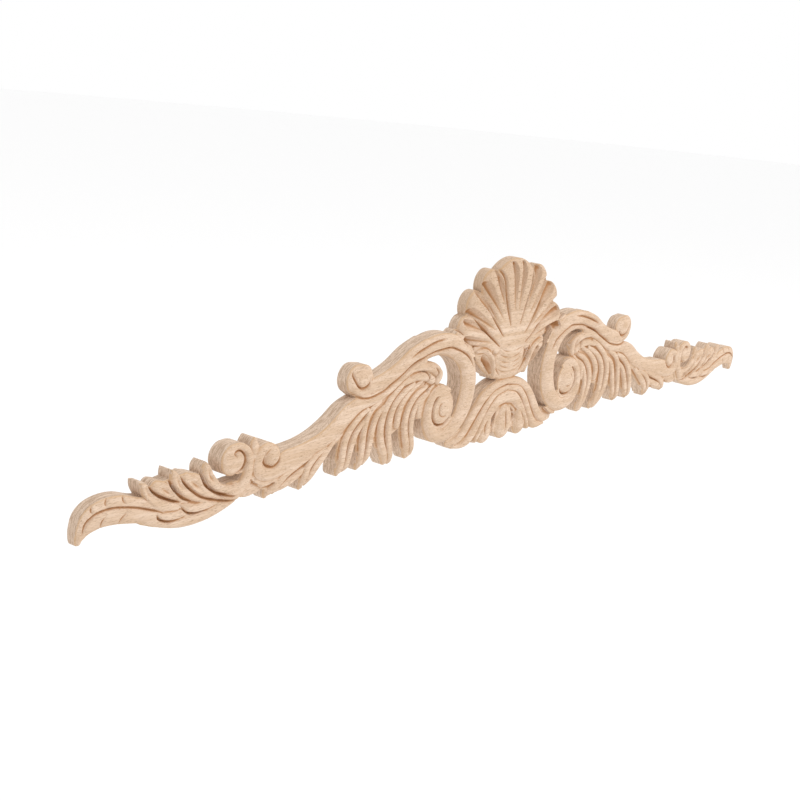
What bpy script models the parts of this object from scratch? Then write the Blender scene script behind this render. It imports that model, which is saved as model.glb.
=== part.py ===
# Carved wood pediment applique: one flat-backed piece with a scallop shell over a
# fan in the middle and a pair of acanthus wings that run out to leaf-shaped ends.
#
# The carving is a relief over a flat back. Every rib, scroll and leaf edge is a
# ridge along a short smooth path, every gouge cut is a groove along one, and the
# piece's outline is simply where a ridge covers the board. Only the right half is
# drawn. The left half is its mirror image.
#
# Paths are written as shares of the object's own half length, in thousandths:
# (out from the middle, up, half width, height above the back).
import math

import bpy
import numpy as np

# Driving sizes, in metres
LENGTH = 0.600
HEIGHT = 0.103
THICKNESS = 0.0116
GROOVE_DEPTH = 0.0016
FLUTE_DEPTH = 0.0030
GRID_STEP = 0.00075
TRIANGLE_BUDGET = 9600

# The design's own extents, in thousandths of the half length
HALF_SPAN = 993.0
LOWEST = -17.0
TALLEST = 323.0
PROUDEST = 38.5
MOUNT_LEVEL = 92.0

ACROSS = LENGTH / 2 / HALF_SPAN
UPWARD = HEIGHT / (TALLEST - LOWEST)
OUTWARD = THICKNESS / PROUDEST

PATH_STEP = 2.5
EDGE_SHARE = 0.15
SHARP_ANGLE = math.radians(40)


def smooth_path(knots):
    """Points of a Catmull-Rom curve through the knots, about PATH_STEP apart."""
    knots = np.array(knots, float)
    if len(knots) == 1:
        return np.vstack([knots, knots + [0.01, 0, 0, 0]])
    ends = np.vstack([2 * knots[0] - knots[1], knots, 2 * knots[-1] - knots[-2]])
    points = []
    for a, b, c, d in zip(ends, ends[1:], ends[2:], ends[3:]):
        count = max(1, math.ceil(math.hypot(*(c - b)[:2]) / PATH_STEP))
        t = (np.arange(count) / count)[:, None]
        curve = 2 * b + (c - a) * t + (2 * a - 5 * b + 4 * c - d) * t**2
        points.append((curve + (3 * b - a - 3 * c + d) * t**3) / 2)
    return np.vstack(points + [knots[-1:]])


class Relief:
    """Heights above the back, and the reach inside the outline, at given places."""

    def __init__(self, out, up):
        self.out = out
        self.up = up
        self.reach = np.full(out.shape, -50.0)
        self.top = np.zeros(out.shape)
        self.cut = np.zeros(out.shape)

    def along(self, knots, margin):
        """Places near a path, with their distance, half width and height there."""
        path = smooth_path(knots)
        widest = path[:, 2].max() + margin
        low = path.min(axis=0) - widest
        high = path.max(axis=0) + widest
        near = np.flatnonzero((self.out > low[0]) & (self.out < high[0])
                              & (self.up > low[1]) & (self.up < high[1]))
        a = path[:-1]
        step = path[1:] - a
        off_out = self.out[near, None] - a[None, :, 0]
        off_up = self.up[near, None] - a[None, :, 1]
        length = step[:, 0]**2 + step[:, 1]**2
        t = np.clip((off_out * step[:, 0] + off_up * step[:, 1]) / length, 0, 1)
        distance = np.hypot(off_out - t * step[:, 0], off_up - t * step[:, 1])
        return near, distance, a[:, 2] + t * step[:, 2], a[:, 3] + t * step[:, 3]

    def ridge(self, knots, drop=7.0, power=2.4):
        """Raise a rounded ridge that falls by drop from its crest to its edge."""
        near, distance, width, crest = self.along(knots, 6.0)
        share = np.minimum(distance / width, 1.0)
        top = np.where(distance < width + 6.0, crest - drop * share**power, 0.0)
        self.reach[near] = np.maximum(self.reach[near], (width - distance).max(axis=1))
        self.top[near] = np.maximum(self.top[near], top.max(axis=1))

    def groove(self, knots, power=1.0):
        """Cut a gouge line; the knots' last value is a share of the full depth."""
        near, distance, width, depth = self.along(knots, 1.0)
        share = np.clip(1 - distance / width, 0, 1)
        self.cut[near] = np.maximum(self.cut[near], (depth * share**power).max(axis=1))

    def height(self):
        return np.maximum(self.top - self.cut, 4.0)


def gouge_depth(share=1.0):
    return share * GROOVE_DEPTH / OUTWARD


def lines(relief, courses, width=3.2, share=1.0):
    """Gouge lines through (out, up) points, fading out at both ends."""
    for course in courses:
        last = len(course) - 1
        depth = gouge_depth(share)
        relief.groove([(out, up, width * (0.5 if place in (0, last) else 1.0),
                        depth * (0.25 if place in (0, last) else 1.0))
                       for place, (out, up) in enumerate(course)])


def end_leaf(relief):
    """The smooth leaf that hooks over at the end of a wing."""
    relief.ridge([(800, 8, 18, 27), (850, 18, 19, 28), (893, 26, 18.5, 28), (925, 33, 20.5, 27),
                  (952, 33, 20, 25), (970, 27, 18, 23), (981, 15, 11.5, 20), (985, 4, 7.5, 18),
                  (986, -3, 5, 17)], drop=5)
    lines(relief, [[(848, 15), (867, 22), (899, 32), (930, 38), (950, 38), (967, 34), (980, 24),
                    (984, 8)]])
    nicks = [[(944, 56), (949, 47), (946, 40)], [(917, 56), (919, 46), (912, 38)],
             [(970, 48), (972, 40), (968, 34)], [(954, 12), (954, 22), (947, 31)],
             [(925, 11), (921, 21), (912, 29)]]
    lines(relief, nicks, width=2.6, share=0.6)


def stem(relief):
    """The smooth band along the wing's lower edge that rolls up round the disc."""
    relief.ridge([(880, 10, 8, 25), (850, 1, 9, 27), (820, -6, 9.5, 28), (793, -8, 10, 29),
                  (760, -5, 10.5, 30), (730, 3, 11, 31), (705, 14, 11.5, 32), (692, 25, 10.5, 33),
                  (683, 38, 10, 34), (680, 55, 10, 34), (682, 70, 9, 34), (690, 81, 7.5, 34),
                  (703, 86, 6.5, 33), (717, 86, 5, 32), (727, 82, 4, 31)], drop=6)
    relief.ridge([(713, 68, 24, 33)], drop=5, power=5)
    relief.ridge([(698, 62, 18, 27)], drop=1)
    lines(relief, [[(709, 72), (713, 79), (702, 81), (691, 73), (688, 60), (696, 50), (712, 46)]],
          width=3.4)
    relief.ridge([(688, 18, 12, 25), (674, 17, 15, 26), (656, 16, 12, 26)], drop=4)
    relief.ridge([(668, 90, 5, 30), (670, 80, 8.5, 33), (671, 64, 6, 33), (672, 48, 4, 32)])


def serrated_leaf(relief):
    """Three pointed lobes with round shoulders between them, and two leaflets."""
    relief.ridge([(874, 38, 9, 21), (862, 44, 14, 24), (845, 44, 15, 25), (822, 45, 17, 26),
                  (800, 46, 17, 26), (780, 40, 17, 27), (760, 28, 17, 27), (735, 18, 14, 26),
                  (702, 22, 12, 25)], drop=2)
    relief.ridge([(862, 20, 12, 21), (820, 22, 22, 24), (775, 16, 16, 25), (738, 12, 12, 25)], drop=2)
    pointed = [
        [(889, 65, 1.2, 26), (882, 57, 7, 28), (874, 46, 8, 29), (863, 34, 8.5, 30),
         (847, 24, 8.5, 30), (820, 17, 7, 29)],
        [(832, 73, 1.2, 27), (826, 62, 8, 30), (818, 49, 9, 31), (806, 38, 9, 31),
         (790, 28, 8.5, 31), (762, 17, 7, 30), (732, 10, 5, 29)],
        [(766, 73, 1.5, 28), (765, 62, 9, 31), (759, 50, 9.5, 32), (750, 40, 9, 32),
         (737, 30, 7.5, 31), (716, 24, 7, 31), (698, 26, 7, 31)]]
    shoulders = [
        [(858, 52, 10.5, 27), (847, 47, 11.5, 29), (830, 36, 8.5, 29), (806, 26, 5, 28)],
        [(803, 54, 10.5, 28), (791, 46, 11.5, 30), (774, 33, 9, 30), (750, 21, 5.5, 29)]]
    for lobe in pointed + shoulders:
        relief.ridge(lobe, drop=5, power=2.5)
    leaflets = [
        [(855, 13, 3, 29), (842, 8, 7, 31), (822, 6, 8, 31), (800, 9, 8, 31), (775, 13, 6, 30)],
        [(816, 19, 3, 30), (803, 13, 7, 33), (783, 9, 7.5, 33), (760, 9, 7, 32), (738, 12, 5, 31)]]
    for leaflet in leaflets:
        relief.ridge(leaflet, drop=6, power=3)
    lines(relief, [[(876, 58), (867, 49), (854, 40), (831, 29), (816, 24)],
                   [(815, 60), (809, 51), (793, 36), (769, 21), (731, 9), (701, 5)],
                   [(776, 60), (771, 51), (763, 38), (745, 25), (722, 15), (706, 12)],
                   [(836, 59), (829, 48), (812, 30), (794, 21)]], width=4, share=1.3)


def lower_scroll(relief):
    """The volute that the lower rail rolls out of, and the rail up to the leaf."""
    relief.ridge([(637, 77, 6, 34), (648, 75, 8, 35), (659, 67, 10, 36), (665, 54, 10.5, 36),
                  (660, 42, 10.5, 36), (646, 35, 11, 36), (626, 38, 15, 36), (604, 45, 19, 35),
                  (580, 49, 17, 34), (550, 56, 14, 33), (515, 65, 15, 33), (482, 80, 16.5, 32),
                  (455, 97, 17, 31), (425, 110, 13.5, 30), (385, 116, 12, 30), (350, 127, 10, 30),
                  (320, 142, 9, 30), (290, 154, 8, 30), (262, 163, 8, 30)], drop=5, power=3)
    relief.ridge([(640, 60, 22.5, 31)], drop=3)
    relief.ridge([(632, 62, 16, 38)], drop=6, power=3)
    lines(relief, [[(651, 72), (652, 60), (646, 49), (633, 44), (621, 49), (616, 57)]])
    relief.ridge([(646, 54, 14, 28)], drop=2)
    relief.ridge([(668, 36, 12, 24), (640, 22, 14, 22), (622, 22, 14, 22)], drop=2)
    relief.ridge([(658, 26, 6, 29), (646, 21, 9, 31), (632, 20, 7, 31)])


def leaf_ribs():
    """Ribs of the big acanthus leaf, each lobe as an outer and an inner rib."""
    return [
        [(520, 50, 5, 30), (560, 39, 8, 31), (592, 27, 8.5, 32), (612, 15, 8.5, 33),
         (626, 3, 7, 28), (631, -3, 4, 24)],
        [(545, 28, 6, 29), (578, 15, 8, 31), (600, 8, 7.5, 31), (617, 2, 5, 27)],
        [(505, 52, 5, 30), (528, 42, 7, 32), (545, 29, 8, 33), (551, 15, 8, 33),
         (553, 3, 6.5, 28), (553, -4, 4, 25)],
        [(488, 57, 6, 30), (508, 41, 8, 32), (525, 27, 8.5, 33), (538, 13, 8, 32), (545, 2, 5, 28)],
        [(405, 99, 5, 29), (430, 87, 7.5, 31), (450, 70, 8, 32), (461, 50, 8.5, 33),
         (465, 28, 8.5, 34), (467, 11, 8, 32), (468, 3, 5, 27)],
        [(410, 82, 5, 29), (430, 66, 7, 31), (441, 48, 8, 32), (448, 28, 8.5, 33),
         (453, 13, 7, 32), (457, 6, 4.5, 28)],
        [(372, 108, 5, 28), (395, 97, 7, 30), (408, 80, 7.5, 31), (413, 58, 8, 32),
         (415, 35, 8, 33), (417, 14, 8, 32), (418, 4, 5.5, 27)],
        [(362, 97, 5, 28), (380, 84, 7.5, 30), (390, 64, 8, 31), (395, 42, 8, 32),
         (400, 22, 8, 32), (406, 9, 5.5, 28)],
        [(300, 138, 5, 28), (325, 124, 7, 29), (350, 104, 8, 30), (364, 82, 9, 31),
         (368, 58, 9.5, 31), (363, 36, 9.5, 31), (351, 15, 9.5, 29), (341, 0, 8, 24)],
        [(285, 126, 5, 28), (312, 113, 7, 29), (335, 95, 8, 30), (345, 74, 8.5, 31),
         (346, 52, 8.5, 31), (342, 30, 8.5, 31), (334, 11, 8.5, 29), (330, -1, 7, 24)],
        [(262, 128, 5, 27), (290, 114, 6.5, 28), (312, 97, 8, 29), (322, 78, 9, 30),
         (322, 61, 9, 29)],
        [(248, 116, 5, 27), (275, 104, 7, 28), (293, 86, 8, 29), (301, 64, 8.5, 30),
         (299, 44, 8.5, 30), (291, 22, 8.5, 29), (284, 4, 8, 25), (282, 0, 7, 24)],
        [(240, 106, 5, 27), (266, 93, 6.5, 28), (279, 75, 7.5, 29), (284, 54, 8, 30),
         (281, 34, 8, 30), (276, 15, 7.5, 29), (274, 3, 6, 25)],
        [(236, 104, 5, 28), (254, 97, 6, 29), (265, 84, 6.5, 30), (266, 67, 6.5, 30)]]


def acanthus_leaf(relief):
    """The big leaf that falls from the rail, and its end that rolls over."""
    bodies = [[(610, 14, 11, 21), (560, 30, 17, 24), (520, 44, 18, 25), (480, 72, 18, 25)],
              [(454, 56, 16, 25), (442, 80, 20, 25), (400, 90, 26, 25), (360, 96, 28, 25),
               (320, 106, 28, 24), (280, 116, 26, 24), (245, 122, 16, 24)],
              [(428, 56, 12, 22), (405, 60, 22, 25), (356, 62, 24, 25), (310, 78, 24, 24),
               (276, 84, 18, 24)],
              [(300, 146, 10, 24), (262, 154, 10, 24)], [(256, 76, 14, 20), (244, 104, 14, 20),
               (226, 114, 10, 18)], [(408, 28, 10, 24), (404, 50, 12, 24)]]
    for body in bodies:
        relief.ridge(body, drop=2)
    for rib in leaf_ribs():
        relief.ridge([(out, up, half + 3, crest - 6) for out, up, half, crest in rib[:-2]], drop=2)
        relief.ridge(rib, drop=7, power=2.2)
    relief.ridge([(335, 138, 5, 28), (305, 149, 7, 29), (278, 153, 7.5, 30), (250, 151, 9, 31),
                  (230, 145, 10, 32), (217, 134, 10, 32), (221, 122, 7, 31)], drop=7)
    relief.ridge([(310, 129, 5, 28), (280, 136, 8, 29), (252, 134, 9, 30), (234, 126, 9, 30)])
    lines(relief, [[(266, 146), (252, 141), (246, 131), (252, 119)],
                   [(234, 150), (224, 140), (226, 128)], [(216, 146), (208, 138), (211, 127)]],
          width=2.8)


def upper_scroll(relief):
    """The upper rail, from its small scroll over the leaf into the big C scroll."""
    relief.ridge([(440, 140, 10, 27), (430, 132, 10, 27), (412, 130, 10, 28), (393, 135, 13, 29),
                  (360, 143, 14.5, 30), (330, 156, 14, 31), (299, 174, 14, 32),
                  (262, 186, 15, 33)], drop=6, power=3)
    relief.ridge([(433, 151, 24.5, 27)], drop=6, power=3)
    relief.ridge([(423, 152, 15, 29)], drop=4, power=3)
    relief.ridge([(431, 151, 24.5, 27), (415, 151, 22.5, 27)], drop=6, power=3)
    relief.ridge([(310, 156, 10, 26), (262, 172, 10, 28), (236, 176, 8, 28)], drop=2)
    relief.ridge([(278, 179, 15, 33), (250, 184, 18, 34), (222, 187, 19, 35), (190, 182, 20, 36),
                  (163, 168, 20.5, 37), (143, 146, 21, 38), (132, 120, 22, 38), (131, 95, 22.5, 38),
                  (138, 68, 22, 38), (154, 44, 19, 38), (178, 28, 16, 37), (204, 24, 13.5, 37),
                  (229, 32, 13.5, 37), (243, 52, 13, 37), (244, 74, 12, 36), (236, 93, 11, 35),
                  (221, 105, 9, 34), (204, 107, 8, 33), (188, 103, 6, 32)], drop=8, power=2.6)
    relief.ridge([(207, 72, 35, 35)], drop=3)
    relief.ridge([(180, 46, 10, 28), (200, 38, 10, 28)], drop=1)
    relief.ridge([(203, 71, 26, 38.5)], drop=7, power=2.6)
    ring = [(205 + 28 * math.cos(a), 71 + 28 * math.sin(a)) for a in np.linspace(1.1, -2.6, 12)]
    lines(relief, [ring], width=3.6, share=1.2)
    lines(relief, [[(447, 166), (446, 158), (439, 148), (430, 139), (420, 135), (408, 139),
                    (403, 148)],
                   [(446, 132), (430, 122), (405, 118), (370, 124), (345, 135), (318, 148),
                    (298, 159), (250, 175), (220, 179), (198, 180), (180, 175), (160, 167),
                    (142, 156), (128, 138)],
                   [(305, 173), (285, 181), (262, 188), (237, 194), (212, 197)]], width=3.4)


def fan(relief):
    """The arched fan under the shell: three nested bands round three drops."""
    bands = [
        [(0, 94, 7, 30), (38, 88, 9, 30), (68, 73, 11, 30), (88, 55, 11.5, 30), (106, 34, 12, 29),
         (122, 15, 12, 28), (140, 3, 10, 27), (156, 0, 9, 25), (165, 2, 8, 23)],
        [(0, 82, 6, 31), (35, 76, 8, 32), (55, 62, 9, 32), (71, 44, 9, 32), (84, 25, 10, 31),
         (97, 8, 10.5, 31), (110, -3, 9.5, 30), (124, -8, 7.5, 28), (148, -9, 4, 25)],
        [(0, 66, 14, 33), (25, 61, 13, 33), (45, 46, 11.5, 33), (62, 29, 9, 32), (75, 12, 6.5, 32),
         (83, 0, 6, 31), (86, -7, 4, 30)]]
    for band in bands:
        relief.ridge(band, drop=7, power=2.2)
    relief.ridge([(0, 38, 16, 33), (0, 11, 26, 36)], drop=9, power=2.2)
    relief.ridge([(46, 34, 6, 31), (52, 20, 14, 33), (57, 4, 20, 34)], drop=9, power=2.2)
    relief.ridge([(0, 48, 40, 22), (30, 34, 34, 22)], drop=1)
    relief.ridge([(138, 14, 12, 24), (158, 12, 12, 24), (172, 12, 8, 24)], drop=1)
    relief.ridge([(0, 88, 12, 22), (50, 78, 14, 22), (78, 52, 16, 22), (96, 26, 16, 22),
                  (102, 6, 16, 22)], drop=1)
    lines(relief, [[(0, 46), (0, 24), (0, 0)]], width=4)
    lines(relief, [[(56, 30), (62, 14), (63, -2)]], width=2.6, share=0.6)
    relief.groove([(34, 23, 6, gouge_depth(2.4)), (32, 15, 4, gouge_depth(0.8))])


def shell(relief):
    """Seven hollow-fluted lobes that spread from a round heart."""
    relief.ridge([(0, 180, 56, 32), (0, 215, 74, 32), (0, 240, 81, 32)], drop=13, power=8)
    lobes = [[(28, 190, 25, 32), (52, 235, 28, 32), (75, 276, 29, 31)],
             [(45, 180, 20, 32), (82, 214, 26, 32), (118, 242, 28, 31)],
             [(48, 160, 14, 31), (95, 184, 18, 31), (142, 204, 24, 30)]]
    for lobe in lobes:
        relief.ridge(lobe, drop=12, power=3.4)
    relief.ridge([(0, 124, 33, 30), (0, 140, 50, 31), (0, 158, 56, 31)], drop=8, power=3)
    flutes = [[(8, 215), (14, 250), (19, 285), (23, 306)], [(24, 205), (44, 238), (63, 268), (76, 290)],
              [(42, 182), (74, 206), (103, 233), (124, 252)],
              [(54, 162), (90, 183), (120, 200), (148, 213)]]
    full = FLUTE_DEPTH / OUTWARD
    for flute in flutes:
        shares = ((6, 0.1), (10, 0.6), (14, 1.0), (14, 0.9))
        if flute is flutes[0]:
            shares = ((4, 0.1), (8, 0.6), (11, 1.0), (11, 0.9))
        relief.groove([(*place, half, depth * full)
                       for place, (half, depth) in zip(flute, shares)], power=0.7)
    lines(relief, [[(56, 310), (46, 290), (40, 265), (28, 232), (15, 200)],
                   [(112, 277), (97, 250), (70, 218), (35, 182)],
                   [(145, 232), (123, 222), (87, 195), (43, 164)]], width=4.5, share=1.5)
    arcs = [[(0, base), (20, base + 2), (36, base + 8)] for base in (113, 124, 136, 149)]
    lines(relief, arcs, width=2, share=0.3)


def calyx(relief):
    """The leaf that cups the shell's heart and curls out to the C scroll."""
    relief.ridge([(24, 104, 6, 27), (46, 118, 12, 30), (70, 134, 16, 30), (92, 148, 13, 28),
                  (106, 152, 9, 26)], drop=6)
    lines(relief, [[(28, 106), (45, 124), (55, 141), (62, 160)]], width=3.6)
    relief.ridge([(62, 150, 16, 24)], drop=1)
    relief.ridge([(88, 164, 14, 12), (122, 172, 18, 12), (146, 184, 14, 14),
                  (170, 194, 12, 18)], drop=1)


def carve(out, up):
    relief = Relief(np.abs(out), up)
    for element in (end_leaf, stem, serrated_leaf, lower_scroll, acanthus_leaf,
                    upper_scroll, fan, shell, calyx):
        element(relief)
    return relief.reach, relief.height()


def relief_mesh(name):
    """A closed mesh: carved front, upright walls and a flat back."""
    across = np.arange(-math.ceil(1005 * ACROSS / GRID_STEP), 0) * GRID_STEP
    across = np.concatenate([across, [0.0], -across[::-1]])
    levels = np.arange(math.floor((LOWEST - 8) * UPWARD / GRID_STEP),
                       math.ceil((TALLEST + 8) * UPWARD / GRID_STEP)) * GRID_STEP
    x, z = np.meshgrid(across, levels, indexing="ij")
    reach, top = carve(x.ravel() / ACROSS, z.ravel() / UPWARD)
    reach = reach.reshape(x.shape)
    columns, rows = x.shape
    corner = {}
    spots = []

    def node(i, j):
        key = (i, j)
        if key not in corner:
            corner[key] = len(spots)
            spots.append((x[i, j], z[i, j]))
        return corner[key]

    def crossing(p, q):
        key = (p, q) if p < q else (q, p)
        if key not in corner:
            a, b = key
            share = reach[a] / (reach[a] - reach[b])
            share = min(max(share, EDGE_SHARE), 1 - EDGE_SHARE)
            corner[key] = len(spots)
            spots.append((x[a] + share * (x[b] - x[a]), z[a] + share * (z[b] - z[a])))
        return corner[key]

    fronts = []
    rims = []
    inside = reach > 0
    used = inside[:-1, :-1] | inside[1:, :-1] | inside[1:, 1:] | inside[:-1, 1:]
    for i, j in np.argwhere(used):
        loop = [(i, j), (i + 1, j), (i + 1, j + 1), (i, j + 1)]
        face = []
        cuts = []
        for place, here in enumerate(loop):
            after = loop[(place + 1) % 4]
            if inside[here]:
                face.append(node(*here))
                cuts.append(False)
            if inside[here] != inside[after]:
                face.append(crossing(here, after))
                cuts.append(not inside[after])
        fronts.append(face)
        for place, leaving in enumerate(cuts):
            if leaving:
                rims.append((face[place], face[(place + 1) % len(face)]))

    spots = np.array(spots)
    lift = carve(spots[:, 0] / ACROSS, spots[:, 1] / UPWARD)[1] * OUTWARD
    count = len(spots)
    front = np.column_stack([spots[:, 0], -lift, spots[:, 1] - MOUNT_LEVEL * UPWARD])
    back = np.column_stack([spots[:, 0], np.zeros(count), spots[:, 1] - MOUNT_LEVEL * UPWARD])
    faces = list(fronts)
    faces += [[place + count for place in reversed(face)] for face in fronts]
    faces += [[b, a, a + count, b + count] for a, b in rims]
    mesh = bpy.data.meshes.new(name)
    mesh.from_pydata(np.vstack([front, back]).tolist(), [], faces)
    mesh.validate()
    return mesh


def unfinished_wood():
    material = bpy.data.materials.new("pale_wood")
    material.use_nodes = True
    shader = material.node_tree.nodes["Principled BSDF"]
    shader.inputs["Base Color"].default_value = (0.78, 0.56, 0.36, 1.0)
    shader.inputs["Roughness"].default_value = 0.75
    shader.inputs["Metallic"].default_value = 0.0
    return material


def build():
    for item in list(bpy.data.objects):
        bpy.data.objects.remove(item, do_unlink=True)
    mesh = relief_mesh("applique")
    mesh.materials.append(unfinished_wood())
    mesh.shade_smooth()
    mesh.set_sharp_from_angle(angle=SHARP_ANGLE)
    applique = bpy.data.objects.new("applique", mesh)
    bpy.context.scene.collection.objects.link(applique)
    mesh.calc_loop_triangles()
    thin = applique.modifiers.new("Fewer triangles", "DECIMATE")
    thin.decimate_type = "COLLAPSE"
    thin.ratio = TRIANGLE_BUDGET / len(mesh.loop_triangles)


build()
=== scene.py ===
# %% [markdown]
# A carved wood pediment applique: one flat board, pierced and carved on its front, that is
# glued over a door, a mantel or the head of a cabinet. In the middle is a scallop shell over
# an arched fan, with a C scroll on each side. From each scroll an acanthus wing runs out to
# a leaf with a hooked tip.
#
# The whole piece is one carving on a flat board, so it can be modelled as a relief: for each
# place on the board there is one height above the back. This lesson writes that height as a
# function of the place, samples it on a fine grid and turns the grid into a closed mesh.
# Sculpting by hand would work too, but a function can be read, changed and repeated.
#
# All paths are in thousandths of the half length: out from the middle, and up. The left half
# is the mirror image of the right half. The driving sizes are the solid's own, in metres, and
# everything else is worked out from them.

# %% Frame and driving sizes
import math

import bpy
import numpy as np
from mathutils import Matrix, Vector


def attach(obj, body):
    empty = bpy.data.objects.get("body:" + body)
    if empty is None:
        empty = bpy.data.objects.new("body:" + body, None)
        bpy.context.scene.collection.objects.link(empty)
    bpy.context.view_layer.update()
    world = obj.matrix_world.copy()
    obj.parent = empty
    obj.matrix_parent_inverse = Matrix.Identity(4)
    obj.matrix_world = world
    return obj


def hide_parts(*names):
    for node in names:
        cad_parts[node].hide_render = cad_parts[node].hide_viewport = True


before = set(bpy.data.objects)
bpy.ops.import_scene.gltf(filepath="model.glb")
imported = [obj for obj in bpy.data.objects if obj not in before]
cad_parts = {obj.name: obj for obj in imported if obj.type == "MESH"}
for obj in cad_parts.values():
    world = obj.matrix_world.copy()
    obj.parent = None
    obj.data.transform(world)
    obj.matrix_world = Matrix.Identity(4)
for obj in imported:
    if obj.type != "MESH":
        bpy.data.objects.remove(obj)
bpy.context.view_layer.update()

LENGTH = 0.600
HEIGHT = 0.103
THICKNESS = 0.0116
GROOVE_DEPTH = 0.0016
FLUTE_DEPTH = 0.0030

HALF_SPAN = 993.0
LOWEST = -17.0
TALLEST = 323.0
PROUDEST = 38.5
MOUNT_LEVEL = 92.0

ACROSS = LENGTH / 2 / HALF_SPAN
UPWARD = HEIGHT / (TALLEST - LOWEST)
OUTWARD = THICKNESS / PROUDEST

# %% [markdown]
# A carver first leaves rounded ridges standing and then cuts gouge lines into them. The code
# does the same. A ridge follows a smooth curve through a few knots, each with a half width
# and a height. Where ridges overlap, the higher one shows. The distance that a place lies
# inside the nearest ridge is its reach, and the outline is where the reach is nought.
# A groove follows a curve too and is taken off at the end.
#
# measure() carves one element alone on a coarse grid and prints its size. Each element's
# cell ends with it, so an element can be checked before the whole piece is made.

# %% Ridges and grooves
PATH_STEP = 2.0
DOT_LENGTH = 0.01
SKIRT = 6.0
LEAST_HEIGHT = 4.0
FAR_OUTSIDE = -50.0
TRIAL_STEP = 4.0
END_WIDTH = 0.5
END_DEPTH = 0.25


def smooth_path(knots):
    """Points of a smooth curve through the knots, about PATH_STEP apart."""
    knots = np.array(knots, float)
    if len(knots) == 1:
        return np.vstack([knots, knots + [DOT_LENGTH, 0, 0, 0]])
    ends = np.vstack([2 * knots[0] - knots[1], knots, 2 * knots[-1] - knots[-2]])
    points = []
    for a, b, c, d in zip(ends, ends[1:], ends[2:], ends[3:]):
        count = max(1, math.ceil(math.hypot(*(c - b)[:2]) / PATH_STEP))
        t = (np.arange(count) / count)[:, None]
        curve = 2 * b + (c - a) * t + (2 * a - 5 * b + 4 * c - d) * t**2
        points.append((curve + (3 * b - a - 3 * c + d) * t**3) / 2)
    return np.vstack(points + [knots[-1:]])


class Relief:
    """Heights above the back, and the reach inside the outline, at given places."""

    def __init__(self, out, up):
        self.out = out
        self.up = up
        self.reach = np.full(out.shape, FAR_OUTSIDE)
        self.top = np.zeros(out.shape)
        self.cut = np.zeros(out.shape)

    def along(self, knots, margin):
        """Places near a path, with their distance, half width and height there."""
        path = smooth_path(knots)
        widest = path[:, 2].max() + margin
        low = path.min(axis=0) - widest
        high = path.max(axis=0) + widest
        near = np.flatnonzero((self.out > low[0]) & (self.out < high[0])
                              & (self.up > low[1]) & (self.up < high[1]))
        a = path[:-1]
        step = path[1:] - a
        off_out = self.out[near, None] - a[None, :, 0]
        off_up = self.up[near, None] - a[None, :, 1]
        length = step[:, 0]**2 + step[:, 1]**2
        t = np.clip((off_out * step[:, 0] + off_up * step[:, 1]) / length, 0, 1)
        distance = np.hypot(off_out - t * step[:, 0], off_up - t * step[:, 1])
        return near, distance, a[:, 2] + t * step[:, 2], a[:, 3] + t * step[:, 3]

    def ridge(self, knots, drop=7.0, power=3.4):
        """Raise a rounded ridge that falls by drop from its crest to its edge."""
        near, distance, width, crest = self.along(knots, SKIRT)
        share = np.minimum(distance / width, 1.0)
        top = np.where(distance < width + SKIRT, crest - drop * share**power, 0.0)
        self.reach[near] = np.maximum(self.reach[near], (width - distance).max(axis=1))
        self.top[near] = np.maximum(self.top[near], top.max(axis=1))

    def groove(self, knots, power=1.0):
        """Cut a gouge line; the knots' last value is its depth there."""
        near, distance, width, depth = self.along(knots, 1.0)
        share = np.clip(1 - distance / width, 0, 1)
        self.cut[near] = np.maximum(self.cut[near], (depth * share**power).max(axis=1))

    def height(self):
        """Heights after the gouge cuts, which never go through the board."""
        return np.maximum(self.top - self.cut, LEAST_HEIGHT)


def gouge_depth(share=1.0):
    """A share of a gouge line's full depth, in the design's units."""
    return share * GROOVE_DEPTH / OUTWARD


def lines(relief, courses, width=3.0, share=1.0):
    """Gouge lines through (out, up) points, fading out at both ends."""
    for course in courses:
        ends = (0, len(course) - 1)
        depth = gouge_depth(share)
        relief.groove([(out, up, width * (END_WIDTH if place in ends else 1.0),
                        depth * (END_DEPTH if place in ends else 1.0))
                       for place, (out, up) in enumerate(course)])


def measure(name, element):
    """Carve one element alone on a coarse grid and print its size."""
    out, up = np.meshgrid(np.arange(0, HALF_SPAN, TRIAL_STEP),
                          np.arange(LOWEST, TALLEST, TRIAL_STEP))
    trial = Relief(out.ravel(), up.ravel())
    element(trial)
    inside = trial.reach > 0
    wide = 1000 * ACROSS * np.ptp(trial.out[inside])
    tall = 1000 * UPWARD * np.ptp(trial.up[inside])
    thick = 1000 * OUTWARD * trial.height()[inside].max()
    print(f"{name}: {wide:.0f} mm wide, {tall:.0f} mm tall, {thick:.1f} mm thick")


measure("a trial dot", lambda relief: relief.ridge([(500, 100, 40, 30)]))

# %% [markdown]
# The wing ends in one smooth leaf that hooks over at its tip. One fat ridge gives the blade,
# a long groove its midrib, and short nicks along both edges are single pushes of the gouge.

# %% End leaf
def end_leaf(relief):
    """The smooth leaf that hooks over at the end of a wing."""
    relief.ridge([(800, 8, 18, 27), (850, 18, 19, 28), (893, 26, 18.5, 28), (925, 33, 20.5, 27),
                  (952, 33, 20, 25), (970, 27, 18, 23), (981, 15, 11.5, 20), (985, 4, 7.5, 18),
                  (986, -3, 5, 17)], drop=5)
    lines(relief, [[(848, 15), (867, 22), (899, 32), (930, 38), (950, 38), (967, 34), (980, 24),
                    (984, 8)]])
    nicks = [[(944, 56), (949, 47), (946, 40)], [(917, 56), (919, 46), (912, 38)],
             [(970, 48), (972, 40), (968, 34)], [(954, 12), (954, 22), (947, 31)],
             [(925, 11), (921, 21), (912, 29)]]
    lines(relief, nicks, width=2.6, share=0.6)


measure("end leaf", end_leaf)

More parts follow.
